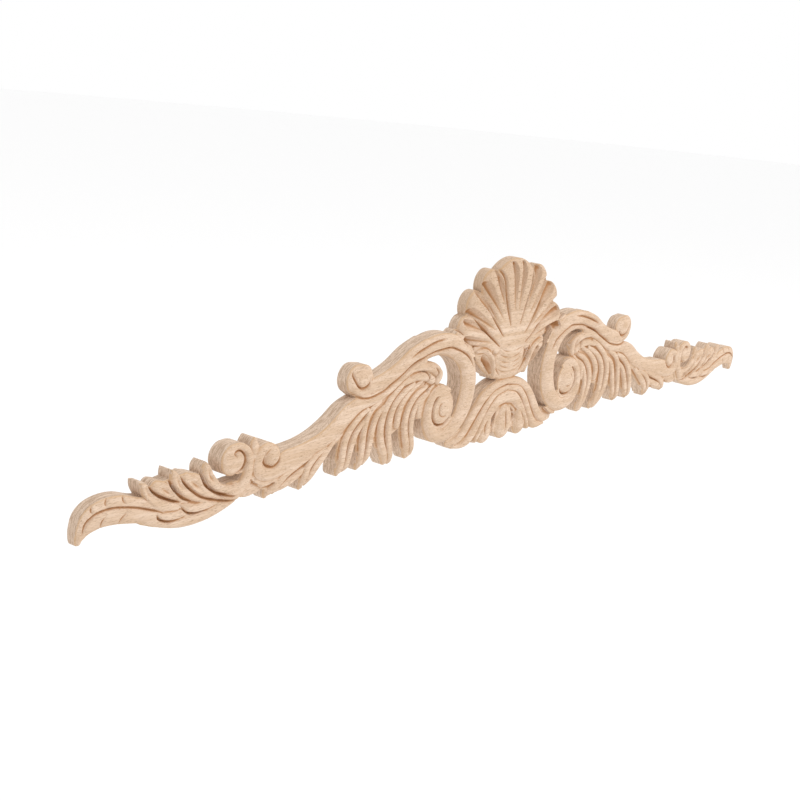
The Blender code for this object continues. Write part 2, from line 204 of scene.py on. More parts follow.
# %% [markdown]
# A round band runs along the lower edge of the wing and rolls up round a flat disc, like a
# fern head. The band is a ridge whose curve ends on the disc, and a spiral groove is cut into
# the disc's face.

# %% Stem and disc
def stem(relief):
    """The smooth band along the wing's lower edge that rolls up round the disc."""
    relief.ridge([(880, 10, 8, 25), (850, 1, 9, 27), (820, -6, 9.5, 28), (793, -8, 10, 29),
                  (760, -5, 10.5, 30), (730, 3, 11, 31), (705, 14, 11.5, 32), (692, 25, 10.5, 33),
                  (683, 38, 10, 34), (680, 55, 10, 34), (682, 70, 9, 34), (690, 81, 7.5, 34),
                  (703, 86, 6.5, 33), (717, 86, 5, 32), (727, 82, 4, 31)], drop=6)
    relief.ridge([(713, 68, 24, 33)], drop=5, power=5)
    relief.ridge([(698, 62, 18, 27)], drop=1)
    lines(relief, [[(709, 72), (713, 79), (702, 81), (691, 73), (688, 60), (696, 50), (712, 46)]],
          width=3.4)
    relief.ridge([(688, 18, 12, 25), (674, 17, 15, 26), (656, 16, 12, 26)], drop=4)
    relief.ridge([(668, 90, 5, 30), (670, 80, 8.5, 33), (671, 64, 6, 33), (672, 48, 4, 32)])


measure("stem and disc", stem)

# %% [markdown]
# Between the end leaf and the disc stands a leaf with saw teeth: three pointed lobes with a
# round shoulder between each pair. Each tooth is a ridge that starts with almost no width at
# its tip. Two low, wide ridges under them keep the gaps from being cut right through.

# %% Serrated leaf
def serrated_leaf(relief):
    """Three pointed lobes with round shoulders between them, and two leaflets."""
    relief.ridge([(874, 38, 9, 21), (862, 44, 14, 24), (845, 44, 15, 25), (822, 45, 17, 26),
                  (800, 46, 17, 26), (780, 40, 17, 27), (760, 28, 17, 27), (735, 18, 14, 26),
                  (702, 22, 12, 25)], drop=2)
    relief.ridge([(862, 20, 12, 21), (820, 22, 22, 24), (775, 16, 16, 25), (738, 12, 12, 25)], drop=2)
    pointed = [
        [(889, 65, 1.2, 26), (882, 57, 7, 28), (874, 46, 8, 29), (863, 34, 8.5, 30),
         (847, 24, 8.5, 30), (820, 17, 7, 29)],
        [(832, 73, 1.2, 27), (826, 62, 8, 30), (818, 49, 9, 31), (806, 38, 9, 31),
         (790, 28, 8.5, 31), (762, 17, 7, 30), (732, 10, 5, 29)],
        [(766, 73, 1.5, 28), (765, 62, 9, 31), (759, 50, 9.5, 32), (750, 40, 9, 32),
         (737, 30, 7.5, 31), (716, 24, 7, 31), (698, 26, 7, 31)]]
    shoulders = [
        [(858, 52, 10.5, 27), (847, 47, 11.5, 29), (830, 36, 8.5, 29), (806, 26, 5, 28)],
        [(803, 54, 10.5, 28), (791, 46, 11.5, 30), (774, 33, 9, 30), (750, 21, 5.5, 29)]]
    for lobe in pointed + shoulders:
        relief.ridge(lobe, drop=7, power=4.5)
    leaflets = [
        [(855, 13, 3, 29), (842, 8, 7, 31), (822, 6, 8, 31), (800, 9, 8, 31), (775, 13, 6, 30)],
        [(816, 19, 3, 30), (803, 13, 7, 33), (783, 9, 7.5, 33), (760, 9, 7, 32), (738, 12, 5, 31)]]
    for leaflet in leaflets:
        relief.ridge(leaflet, drop=6, power=3)
    lines(relief, [[(876, 58), (867, 49), (854, 40), (831, 29), (816, 24)],
                   [(815, 60), (809, 51), (793, 36), (769, 21), (731, 9), (701, 5)],
                   [(776, 60), (771, 51), (763, 38), (745, 25), (722, 15), (706, 12)],
                   [(836, 59), (829, 48), (812, 30), (794, 21)]], width=3.6, share=1.5)
    lines(relief, [[(858, 14), (853, 6), (837, -1), (814, -2)],
                   [(817, 21), (805, 8), (788, 2), (761, 2)]], width=2.6, share=1.1)
    scoops = [[(880, 56), (871, 44), (856, 33)], [(824, 62), (815, 48), (800, 37)],
              [(763, 62), (757, 50), (748, 40)], [(850, 50), (838, 42), (826, 34)],
              [(794, 50), (784, 42), (770, 32)]]
    for scoop in scoops:
        relief.groove([(out, up, half, gouge_depth(share)) for (out, up), half, share
                       in zip(scoop, (5, 6.5, 4), (0.5, 0.9, 0.2))], power=0.8)


measure("serrated leaf", serrated_leaf)

# %% [markdown]
# The next scroll rolls the other way, round a comma-shaped eye, and runs on as a broad rail
# that carries the big leaf. The rail narrows as it climbs, which only needs smaller half
# widths at the later knots.

# %% Lower scroll and rail
def lower_scroll(relief):
    """The volute that the lower rail rolls out of, and the rail up to the leaf."""
    relief.ridge([(637, 77, 6, 34), (648, 75, 8, 35), (659, 67, 10, 36), (665, 54, 10.5, 36),
                  (660, 42, 10.5, 36), (646, 35, 11, 36), (626, 38, 15, 36), (604, 45, 19, 35),
                  (580, 49, 17, 34), (550, 56, 14, 33), (515, 65, 15, 33), (482, 80, 16.5, 32),
                  (455, 97, 17, 31), (425, 110, 13.5, 30), (385, 116, 12, 30), (350, 127, 10, 30),
                  (320, 142, 9, 30), (290, 154, 8, 30), (262, 163, 8, 30)], drop=5, power=3)
    relief.ridge([(640, 60, 22.5, 31)], drop=3)
    relief.ridge([(632, 62, 16, 38)], drop=6, power=3)
    lines(relief, [[(651, 72), (652, 60), (646, 49), (633, 44), (621, 49), (616, 57)]])
    relief.ridge([(646, 54, 14, 28)], drop=2)
    relief.ridge([(668, 36, 12, 24), (640, 22, 14, 22), (622, 22, 14, 22)], drop=2)
    relief.ridge([(658, 26, 6, 29), (646, 21, 9, 31), (632, 20, 7, 31)])


measure("lower scroll and rail", lower_scroll)

# %% [markdown]
# The big acanthus leaf has seven lobes, and long ribs turn down into them from the rail, mostly
# two to a lobe. They are listed as paths, from the outer lobe to the inner one, so that one
# loop can carve them all.

# %% Ribs of the acanthus leaf
def leaf_ribs():
    """Paths of the big leaf's ribs, from the outer lobe to the inner one."""
    return [
        [(520, 50, 5, 30), (560, 39, 8, 31), (592, 27, 8.5, 32), (612, 15, 8.5, 33),
         (626, 3, 7, 28), (631, -3, 4, 24)],
        [(545, 28, 6, 29), (578, 15, 8, 31), (600, 8, 7.5, 31), (617, 2, 5, 27)],
        [(505, 52, 5, 30), (528, 42, 7, 32), (545, 29, 8, 33), (551, 15, 8, 33),
         (553, 3, 6.5, 28), (553, -4, 4, 25)],
        [(488, 57, 6, 30), (508, 41, 8, 32), (525, 27, 8.5, 33), (538, 13, 8, 32), (545, 2, 5, 28)],
        [(405, 99, 5, 29), (430, 87, 7.5, 31), (450, 70, 8, 32), (461, 50, 8.5, 33),
         (465, 28, 8.5, 34), (467, 11, 8, 32), (468, 3, 5, 27)],
        [(410, 82, 5, 29), (430, 66, 7, 31), (441, 48, 8, 32), (448, 28, 8.5, 33),
         (453, 13, 7, 32), (457, 6, 4.5, 28)],
        [(372, 108, 5, 28), (395, 97, 7, 30), (408, 80, 7.5, 31), (413, 58, 8, 32),
         (415, 35, 8, 33), (417, 14, 8, 32), (418, 4, 5.5, 27)],
        [(362, 97, 5, 28), (380, 84, 7.5, 30), (390, 64, 8, 31), (395, 42, 8, 32),
         (400, 22, 8, 32), (406, 9, 5.5, 28)],
        [(300, 138, 5, 28), (325, 124, 7, 29), (350, 104, 8, 30), (364, 82, 9, 31),
         (368, 58, 9.5, 31), (363, 36, 9.5, 31), (351, 15, 9.5, 29), (341, 0, 8, 24)],
        [(285, 126, 5, 28), (312, 113, 7, 29), (335, 95, 8, 30), (345, 74, 8.5, 31),
         (346, 52, 8.5, 31), (342, 30, 8.5, 31), (334, 11, 8.5, 29), (330, -1, 7, 24)],
        [(262, 128, 5, 27), (290, 114, 6.5, 28), (312, 97, 8, 29), (322, 78, 9, 30),
         (322, 61, 9, 29)],
        [(248, 116, 5, 27), (275, 104, 7, 28), (293, 86, 8, 29), (301, 64, 8.5, 30),
         (299, 44, 8.5, 30), (291, 22, 8.5, 29), (284, 4, 8, 25), (282, 0, 7, 24)],
        [(240, 106, 5, 27), (266, 93, 6.5, 28), (279, 75, 7.5, 29), (284, 54, 8, 30),
         (281, 34, 8, 30), (276, 15, 7.5, 29), (274, 3, 6, 25)],
        [(236, 104, 5, 28), (254, 97, 6, 29), (265, 84, 6.5, 30), (266, 67, 6.5, 30)]]


print("the big leaf has", len(leaf_ribs()), "ribs on each wing")

# %% [markdown]
# Under the ribs lies a web of wood, a little lower than their crests, so that the valleys
# between them stay shallow and only the lobes' ends stand free. A rib that ends low is a
# tooth of the lower edge, and gets a blunt point there. The leaf's end rolls over beside the
# C scroll, and three curved nicks mark the roll.

# %% Acanthus leaf
TOOTH_END = 5.0
WEB_SPREAD = 3.0
WEB_DROP = 6.0


def acanthus_leaf(relief):
    """The big leaf that falls from the rail, and its end that rolls over."""
    bodies = [[(610, 14, 11, 21), (560, 30, 17, 24), (520, 44, 18, 25), (480, 72, 18, 25)],
              [(454, 56, 16, 25), (442, 80, 20, 25), (400, 90, 26, 25), (360, 96, 28, 25),
               (320, 106, 28, 24), (280, 116, 26, 24), (245, 122, 16, 24)],
              [(428, 56, 12, 22), (405, 60, 22, 25), (356, 62, 24, 25), (310, 78, 24, 24),
               (276, 84, 18, 24)],
              [(300, 146, 10, 24), (262, 154, 10, 24)],
              [(256, 76, 14, 20), (244, 104, 14, 20), (226, 114, 10, 18)],
              [(408, 28, 10, 24), (404, 50, 12, 24)]]
    for body in bodies:
        relief.ridge(body, drop=2)
    for rib in leaf_ribs():
        relief.ridge([(out, up, half + WEB_SPREAD, crest - WEB_DROP)
                      for out, up, half, crest in rib[:-2]], drop=2)
        relief.ridge(rib, drop=8, power=4.5)
        out, up, half, crest = rib[-1]
        if up < TOOTH_END:
            relief.ridge([(out, up + 8, half + 1.5, crest + 1), (out, up + 1, half + 1, crest),
                          (out - 1, up - 3.5, 3.5, crest - 3)], drop=5, power=3)
    relief.ridge([(335, 138, 5, 28), (305, 149, 7, 29), (278, 153, 7.5, 30), (250, 151, 9, 31),
                  (230, 145, 10, 32), (217, 134, 10, 32), (221, 122, 7, 31)], drop=7)
    relief.ridge([(310, 129, 5, 28), (280, 136, 8, 29), (252, 134, 9, 30), (234, 126, 9, 30)])
    lines(relief, [[(266, 146), (252, 141), (246, 131), (252, 119)],
                   [(234, 150), (224, 140), (226, 128)], [(216, 146), (208, 138), (211, 127)]],
          width=2.8)


measure("acanthus leaf", acanthus_leaf)

# %% [markdown]
# The proudest parts are the C scrolls. Each starts as a small scroll on top of the wing,
# runs in along the upper rail, and turns round a large volute with a domed eye. The board is
# pierced inside the C.

# %% Upper rail and C scroll
def upper_scroll(relief):
    """The upper rail, from its small scroll over the leaf into the big C scroll."""
    relief.ridge([(440, 140, 10, 27), (430, 132, 10, 27), (412, 130, 10, 28), (393, 135, 13, 29),
                  (360, 143, 14.5, 30), (330, 156, 14, 31), (299, 174, 14, 32),
                  (262, 186, 15, 33)], drop=6, power=3)
    relief.ridge([(433, 151, 24.5, 27)], drop=6, power=3)
    relief.ridge([(423, 152, 15, 29)], drop=4, power=3)
    relief.ridge([(431, 151, 24.5, 27), (415, 151, 22.5, 27)], drop=6, power=3)
    relief.ridge([(310, 156, 10, 26), (262, 172, 10, 28), (236, 176, 8, 28)], drop=2)
    relief.ridge([(278, 179, 15, 33), (250, 184, 18, 34), (222, 187, 19, 35), (190, 182, 20, 36),
                  (163, 168, 20.5, 37), (143, 146, 21, 38), (132, 120, 22, 38), (131, 95, 22.5, 38),
                  (138, 68, 22, 38), (154, 44, 19, 38), (178, 28, 16, 37), (204, 24, 13.5, 37),
                  (229, 32, 13.5, 37), (243, 52, 13, 37), (244, 74, 12, 36), (236, 93, 11, 35),
                  (221, 105, 9, 34), (204, 107, 8, 33), (188, 103, 6, 32)], drop=8, power=2.6)
    relief.ridge([(207, 72, 35, 35)], drop=3)
    relief.ridge([(180, 46, 10, 28), (200, 38, 10, 28)], drop=1)
    relief.ridge([(203, 71, 26, 38.5)], drop=7, power=2.6)
    ring = [(205 + 28 * math.cos(a), 71 + 28 * math.sin(a)) for a in np.linspace(1.1, -2.6, 12)]
    lines(relief, [ring], width=3.6, share=1.6)
    inner = [(205 + 13 * math.cos(a), 72 + 13 * math.sin(a)) for a in np.linspace(1.4, -2.4, 8)]
    lines(relief, [inner], width=2.2, share=0.5)
    lines(relief, [[(447, 166), (446, 158), (439, 148), (430, 139), (420, 135), (408, 139),
                    (403, 148)],
                   [(446, 132), (430, 122), (405, 118), (370, 124), (345, 135), (318, 148),
                    (298, 159), (250, 175), (220, 179), (198, 180), (180, 175), (160, 167),
                    (142, 156), (128, 138)],
                   [(305, 173), (285, 181), (262, 188), (237, 194), (212, 197)]], width=3.4)


measure("upper rail and C scroll", upper_scroll)

# %% [markdown]
# Under the shell hangs a small fan: three nested arched bands that sweep out into a foot on
# each side, and three drops under the arch with drilled pits between them.

# %% Fan
def fan(relief):
    """The arched fan under the shell: three nested bands round three drops."""
    bands = [
        [(0, 94, 7, 30), (38, 88, 9, 30), (68, 73, 11, 30), (88, 55, 11.5, 30), (106, 34, 12, 29),
         (122, 15, 12, 28), (140, 3, 10, 27), (156, 0, 9, 25), (165, 2, 8, 23)],
        [(0, 82, 6, 31), (35, 76, 8, 32), (55, 62, 9, 32), (71, 44, 9, 32), (84, 25, 10, 31),
         (97, 8, 10.5, 31), (110, -3, 9.5, 30), (124, -8, 7.5, 28), (148, -9, 4, 25)],
        [(0, 66, 14, 33), (25, 61, 13, 33), (45, 46, 11.5, 33), (62, 29, 9, 32), (75, 12, 6.5, 32),
         (83, 0, 6, 31), (86, -7, 4, 30)]]
    for band in bands:
        relief.ridge(band, drop=7, power=3.2)
    relief.ridge([(0, 38, 16, 33), (0, 11, 26, 36)], drop=9, power=2.2)
    relief.ridge([(46, 34, 6, 31), (52, 20, 14, 33), (57, 4, 20, 34)], drop=9, power=2.2)
    relief.ridge([(0, 48, 40, 22), (30, 34, 34, 22)], drop=1)
    relief.ridge([(138, 14, 12, 24), (158, 12, 12, 24), (172, 12, 8, 24)], drop=1)
    relief.ridge([(0, 88, 12, 22), (50, 78, 14, 22), (78, 52, 16, 22), (96, 26, 16, 22),
                  (102, 6, 16, 22)], drop=1)
    lines(relief, [[(0, 46), (0, 24), (0, 0)]], width=4)
    lines(relief, [[(56, 30), (62, 14), (63, -2)]], width=2.6, share=0.6)
    relief.groove([(34, 23, 6, gouge_depth(2.4)), (32, 15, 4, gouge_depth(0.8))])


measure("half of the fan", fan)

# %% [markdown]
# The shell has seven lobes round a smooth heart. The lobes' outline comes from overlapping
# round ridges. Each lobe is hollowed by two flutes that widen towards its rim, and deep lines
# part the lobes.

# %% Scallop shell
HEART = 165.0


def shell(relief):
    """Seven fluted lobes that spread from a smooth heart."""
    relief.ridge([(0, 180, 56, 32), (0, 215, 74, 32), (0, 240, 81, 32)], drop=13, power=8)
    lobes = [[(28, 190, 25, 32), (52, 235, 28, 32), (75, 276, 29, 31)],
             [(45, 180, 20, 32), (82, 214, 26, 32), (118, 242, 28, 31)],
             [(48, 160, 14, 31), (95, 184, 18, 31), (142, 204, 24, 30)]]
    for lobe in lobes:
        relief.ridge(lobe, drop=12, power=3.4)
    relief.ridge([(0, 124, 33, 30), (0, 140, 50, 31), (0, 158, 56, 31)], drop=8, power=3)
    full = FLUTE_DEPTH / OUTWARD
    for turn, tip in ((84, 145), (63, 149), (50, 150), (40, 155), (27, 155), (19, 157), (8, 153)):
        away = math.cos(math.radians(turn))
        rise = math.sin(math.radians(turn))
        relief.groove([(tip * part * away, HEART + tip * part * rise, half, depth * full)
                       for part, half, depth in ((0.38, 2, 0.05), (0.58, 4.5, 0.35),
                                                 (0.8, 7.5, 0.95), (0.93, 8.5, 1.3),
                                                 (1.0, 7.0, 1.25))], power=0.6)
    lines(relief, [[(56, 310), (46, 290), (40, 265), (28, 232), (15, 200)],
                   [(112, 277), (97, 250), (70, 218), (35, 182)],
                   [(145, 232), (123, 222), (87, 195), (43, 164)]], width=4.5, share=1.5)
    arcs = [[(0, base), (20, base + 2), (38, base + 9)] for base in (112, 121, 130, 140, 151)]
    lines(relief, arcs, width=2.2, share=0.4)


measure("half of the shell", shell)

# %% [markdown]
# A small cupped leaf on each side holds the shell's heart and reaches out to the C scroll,
# with a deep pocket behind it.

# %% Calyx
def calyx(relief):
    """The leaf that cups the shell's heart and curls out to the C scroll."""
    relief.ridge([(24, 104, 6, 27), (46, 118, 12, 30), (70, 134, 16, 30), (92, 148, 13, 28),
                  (106, 152, 9, 26)], drop=6)
    lines(relief, [[(28, 106), (45, 124), (55, 141), (62, 160)]], width=3.6)
    relief.ridge([(50, 108, 4, 31), (56, 128, 5, 34), (66, 147, 5.5, 35), (86, 160, 5, 33),
                  (106, 160, 4, 28)], drop=6, power=3)
    relief.groove([(61, 117, 5, gouge_depth(1.0)), (73, 133, 8, gouge_depth(2.6)),
                   (90, 147, 6, gouge_depth(1.6))], power=0.6)
    relief.ridge([(62, 150, 16, 24)], drop=1)
    relief.ridge([(88, 164, 14, 12), (122, 172, 18, 12), (146, 184, 14, 14),
                  (170, 194, 12, 18)], drop=1)


measure("calyx", calyx)

# %% [markdown]
# The relief is sampled on a grid. Cells inside the outline become faces of the front and,
# turned over, of the back. Where the outline crosses a cell's edge, the crossing point is
# worked out from the reach at the two corners, so that the outline comes out smooth and not
# stepped. A strip of upright faces joins front and back, and the mesh is closed.
#
# The arris between front and sides is rounded a little, as sandpaper leaves it. Last, a
# Decimate modifier takes triangles out where the surface is nearly flat.

# %% From heights to a closed mesh
GRID_STEP = 0.00042
GRID_MARGIN = 12.0
EDGE_SHARE = 0.15
ARRIS = 1.2
TRIANGLE_BUDGET = 190000


def carve(out, up):
    """Reach and height of the whole carving at given places."""
    relief = Relief(np.abs(out), up)
    for element in (end_leaf, stem, serrated_leaf, lower_scroll, acanthus_leaf,
                    upper_scroll, fan, shell, calyx):
        element(relief)
    inside = np.clip(relief.reach, 0, ARRIS)
    rounding = ARRIS - np.sqrt(np.maximum(ARRIS**2 - (ARRIS - inside)**2, 0))
    return relief.reach, relief.height() - rounding


def relief_mesh(name):
    """A closed mesh: carved front, upright walls and a flat back."""
    across = np.arange(-math.ceil((HALF_SPAN + GRID_MARGIN) * ACROSS / GRID_STEP), 0) * GRID_STEP
    across = np.concatenate([across, [0.0], -across[::-1]])
    levels = np.arange(math.floor((LOWEST - GRID_MARGIN) * UPWARD / GRID_STEP),
                       math.ceil((TALLEST + GRID_MARGIN) * UPWARD / GRID_STEP)) * GRID_STEP
    x, z = np.meshgrid(across, levels, indexing="ij")
    reach, top = carve(x.ravel() / ACROSS, z.ravel() / UPWARD)
    reach = reach.reshape(x.shape)
    corner = {}
    spots = []

    def node(i, j):
        key = (i, j)
        if key not in corner:
            corner[key] = len(spots)
            spots.append((x[i, j], z[i, j]))
        return corner[key]

    def crossing(p, q):
        key = (p, q) if p < q else (q, p)
        if key not in corner:
            a, b = key
            share = reach[a] / (reach[a] - reach[b])
            share = min(max(share, EDGE_SHARE), 1 - EDGE_SHARE)
            corner[key] = len(spots)
            spots.append((x[a] + share * (x[b] - x[a]), z[a] + share * (z[b] - z[a])))
        return corner[key]

    fronts = []
    rims = []
    inside = reach > 0
    used = inside[:-1, :-1] | inside[1:, :-1] | inside[1:, 1:] | inside[:-1, 1:]
    for i, j in np.argwhere(used):
        loop = [(i, j), (i + 1, j), (i + 1, j + 1), (i, j + 1)]
        face = []
        cuts = []
        for place, here in enumerate(loop):
            after = loop[(place + 1) % 4]
            if inside[here]:
                face.append(node(*here))
                cuts.append(False)
            if inside[here] != inside[after]:
                face.append(crossing(here, after))
                cuts.append(not inside[after])
        fronts.append(face)
        for place, leaving in enumerate(cuts):
            if leaving:
                rims.append((face[place], face[(place + 1) % len(face)]))

    spots = np.array(spots)
    lift = carve(spots[:, 0] / ACROSS, spots[:, 1] / UPWARD)[1] * OUTWARD
    count = len(spots)
    front = np.column_stack([spots[:, 0], -lift, spots[:, 1] - MOUNT_LEVEL * UPWARD])
    back = np.column_stack([spots[:, 0], np.zeros(count), spots[:, 1] - MOUNT_LEVEL * UPWARD])
    faces = list(fronts)
    faces += [[place + count for place in reversed(face)] for face in fronts]
    faces += [[b, a, a + count, b + count] for a, b in rims]
    mesh = bpy.data.meshes.new(name)
    mesh.from_pydata(np.vstack([front, back]).tolist(), [], faces)
    mesh.validate()
    return mesh, (x, z, reach, top.reshape(x.shape))


print("the board is", round(LENGTH / GRID_STEP), "grid cells long")

# %% [markdown]
# A hand-carved face is never quite even: each pass of the gouge leaves it a hair higher or
# lower. Geometry Nodes can do this by rule. The tree moves each point of the front along its
# normal by a soft noise, and leaves the sides and the back alone. It also marks the upright
# faces with a value that the material reads, because they were sawn and not carved. The
# ripples' depth and size are inputs of the tree, so they can be changed without opening it.

# %% Hand-carved surface
RIPPLE_DEPTH = 0.00012
RIPPLE_SIZE = 0.006
SIDE_FACING = 0.3


def add_node(tree, kind, **options):
    """A new node of a tree, with its options set."""
    node = tree.nodes.new(kind)
    for name, value in options.items():
        setattr(node, name, value)
    return node


def carving_tree(wood):
    """A tree that ripples the front, marks the sides and puts the wood on."""
    tree = bpy.data.node_groups.new("Hand carving", "GeometryNodeTree")
    for direction in ("INPUT", "OUTPUT"):
        tree.interface.new_socket("Geometry", in_out=direction,
                                  socket_type="NodeSocketGeometry")
    depth, size = [tree.interface.new_socket(name, in_out="INPUT",
                                             socket_type="NodeSocketFloat")
                   for name in ("Ripple depth", "Ripple size")]
    start = add_node(tree, "NodeGroupInput")
    end = add_node(tree, "NodeGroupOutput")
    place = add_node(tree, "GeometryNodeInputPosition")
    normal = add_node(tree, "GeometryNodeInputNormal")
    facing = add_node(tree, "ShaderNodeSeparateXYZ")
    spread = add_node(tree, "ShaderNodeCombineXYZ")
    shrink = add_node(tree, "ShaderNodeVectorMath", operation="DIVIDE")
    noise = add_node(tree, "ShaderNodeTexNoise")
    noise.inputs["Scale"].default_value = 1.0
    noise.inputs["Detail"].default_value = 2.0
    centred = add_node(tree, "ShaderNodeMath", operation="SUBTRACT")
    centred.inputs[1].default_value = 0.5
    forward = add_node(tree, "ShaderNodeMath", operation="MULTIPLY", use_clamp=True)
    forward.inputs[1].default_value = -1.0
    amount = add_node(tree, "ShaderNodeMath", operation="MULTIPLY")
    masked = add_node(tree, "ShaderNodeMath", operation="MULTIPLY")
    offset = add_node(tree, "ShaderNodeVectorMath", operation="SCALE")
    move = add_node(tree, "GeometryNodeSetPosition")
    flat = add_node(tree, "ShaderNodeMath", operation="ABSOLUTE")
    upright = add_node(tree, "FunctionNodeCompare", data_type="FLOAT", operation="LESS_THAN")
    upright.inputs["B"].default_value = SIDE_FACING
    mark = add_node(tree, "GeometryNodeStoreNamedAttribute", data_type="FLOAT", domain="FACE")
    mark.inputs["Name"].default_value = "side"
    real = add_node(tree, "GeometryNodeRealizeInstances")
    paint = add_node(tree, "GeometryNodeSetMaterial")
    paint.inputs["Material"].default_value = wood
    wires = [(start, "Ripple size", spread, axis) for axis in "XYZ"]
    wires += [(place, "Position", shrink, 0), (spread, "Vector", shrink, 1),
              (shrink, "Vector", noise, "Vector"), (noise, "Fac", centred, 0),
              (centred, "Value", amount, 0), (start, "Ripple depth", amount, 1),
              (normal, "Normal", facing, "Vector"), (facing, "Y", forward, 0),
              (amount, "Value", masked, 0), (forward, "Value", masked, 1),
              (normal, "Normal", offset, "Vector"), (masked, "Value", offset, "Scale"),
              (start, "Geometry", move, "Geometry"), (offset, "Vector", move, "Offset"),
              (facing, "Y", flat, 0), (flat, "Value", upright, "A"),
              (upright, "Result", mark, "Value"), (move, "Geometry", mark, "Geometry"),
              (mark, "Geometry", real, "Geometry"), (real, "Geometry", paint, "Geometry"),
              (paint, "Geometry", end, "Geometry")]
    for source, output, target, into in wires:
        tree.links.new(source.outputs[output], target.inputs[into])
    return tree, depth.identifier, size.identifier


print("ripples are up to", round(1000 * RIPPLE_DEPTH / 2, 3), "mm either way")

# %% [markdown]
# Pale unfinished wood comes from a few simple layers of noise. The grain lies along the
# board, so each noise is stretched that way: soft growth layers, fine fibres, and short dark
# dashes for the open pores. A grain value is how many blotches fit in a metre along the
# board, through it and up it. The sawn sides show the saw's fine lines instead.
#
# Hollows and gouge cuts are painted warmer and darker the deeper they lie, as painted shade,
# and the front is tinted a little warmer and darker along its outline, fading inwards. The mesh
# carries values for these. The upper part of the shell comes from a second strip of the blank,
# glued on before carving, and is a touch darker and more porous.

# %% Wood
GLUE_LINE = (225.0 - MOUNT_LEVEL) * UPWARD
GLUE_BLUR = 0.0002
PORE_DEPTH = 0.00008

LAYER_GRAIN = (9, 420, 240)
FIBRE_GRAIN = (45, 1500, 1300)
SAW_GRAIN = (60, 1600, 300)
CLOUD_GRAIN = (12, 40, 40)
PORE_GRAIN = (380, 3800, 4200)

PALE_WOOD = (0.74, 0.565, 0.43)
LATE_WOOD = (0.62, 0.44, 0.30)
CLOUD = (0.70, 0.52, 0.385)
FIBRE = (0.58, 0.40, 0.265)
SAWN_WOOD = (0.70, 0.54, 0.415)
SAW_LINE = (0.50, 0.355, 0.25)
UPPER_STRIP = (0.56, 0.39, 0.26)
PORE = (0.28, 0.16, 0.085)
ARRIS_TINT = (0.58, 0.36, 0.18)
# Painted shade: the next two colours darken hollows and gouge creases where they lie deep.
HOLLOW_PAINTED_SHADE = (0.44, 0.24, 0.12)
CREASE_PAINTED_SHADE = (0.43, 0.195, 0.065)


class Shading:
    """Short ways to add shader nodes to one material."""

    def __init__(self, name):
        self.material = bpy.data.materials.new(name)
        self.material.use_nodes = True
        self.tree = self.material.node_tree
        self.shader = self.tree.nodes["Principled BSDF"]
        self.place = self.tree.nodes.new("ShaderNodeTexCoord").outputs["Object"]

    def link(self, source, target):
        self.tree.links.new(source, target)

    def attribute(self, name):
        """A value that the mesh carries."""
        node = self.tree.nodes.new("ShaderNodeAttribute")
        node.attribute_name = name
        return node.outputs["Fac"]

    def noise(self, scale, detail=2.0, roughness=0.5):
        """Noise with its own scale along each axis."""
        mapping = self.tree.nodes.new("ShaderNodeMapping")
        mapping.inputs["Scale"].default_value = scale
        self.link(self.place, mapping.inputs["Vector"])
        node = self.tree.nodes.new("ShaderNodeTexNoise")
        node.inputs["Scale"].default_value = 1.0
        node.inputs["Detail"].default_value = detail
        node.inputs["Roughness"].default_value = roughness
        self.link(mapping.outputs["Vector"], node.inputs["Vector"])
        return node.outputs["Fac"]

    def step(self, value, low, high, to_low=0.0, to_high=1.0):
        """A soft step from to_low to to_high between two values."""
        node = self.tree.nodes.new("ShaderNodeMapRange")
        node.interpolation_type = "SMOOTHSTEP"
        node.inputs["From Min"].default_value = low
        node.inputs["From Max"].default_value = high
        node.inputs["To Min"].default_value = to_low
        node.inputs["To Max"].default_value = to_high
        self.link(value, node.inputs["Value"])
        return node.outputs["Result"]

    def math(self, operation, first, second):
        """Two values put together, either of which may be a plain number."""
        node = self.tree.nodes.new("ShaderNodeMath")
        node.operation = operation
        for value, socket in zip((first, second), node.inputs):
            if isinstance(value, (int, float)):
                socket.default_value = value
            else:
                self.link(value, socket)
        return node.outputs["Value"]

    def blend(self, share, first, second):
        """From the first colour to the second, by a share."""
        node = self.tree.nodes.new("ShaderNodeMix")
        node.data_type = "RGBA"
        self.link(share, node.inputs["Factor"])
        for value, socket in zip((first, second), (node.inputs[6], node.inputs[7])):
            if isinstance(value, tuple):
                socket.default_value = (*value, 1.0)
            else:
                self.link(value, socket)
        return node.outputs[2]

    def tint(self, colour, where, strength, paint):
        """A colour with some paint over it where a value is high."""
        return self.blend(self.math("MULTIPLY", where, strength), colour, paint)


